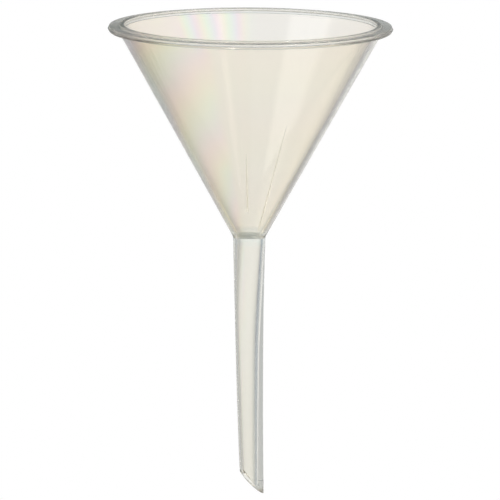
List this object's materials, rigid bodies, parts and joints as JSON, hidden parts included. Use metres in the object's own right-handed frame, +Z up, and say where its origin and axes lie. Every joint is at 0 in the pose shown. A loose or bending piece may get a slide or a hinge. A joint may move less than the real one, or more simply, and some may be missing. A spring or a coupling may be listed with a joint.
{
  "type": "laboratory funnel",
  "caption": "Clear moulded laboratory funnel: wide cone with a flanged, collared mouth and a long tapered stem cut off at a slant.",
  "frame": {"origin": "on the funnel's axis, level with the stem's lowest point", "axes": "+Z up the funnel's axis towards the mouth; +X towards the low side of the stem's slanted end"},
  "size_m": [0.1128, 0.1128, 0.1904],
  "materials": {
    "clear_plastic": "clear, gloss, very slightly milky and warm, as moulded polymethylpentene"
  },
  "bodies": {
    "root": {"cone": "clear_plastic", "rim_collar": "clear_plastic", "rim_flange": "clear_plastic", "neck_ring": "clear_plastic", "stem": "clear_plastic", "vent_rib_long": "clear_plastic", "vent_rib_short": "clear_plastic"}
  },
  "joints": []
}
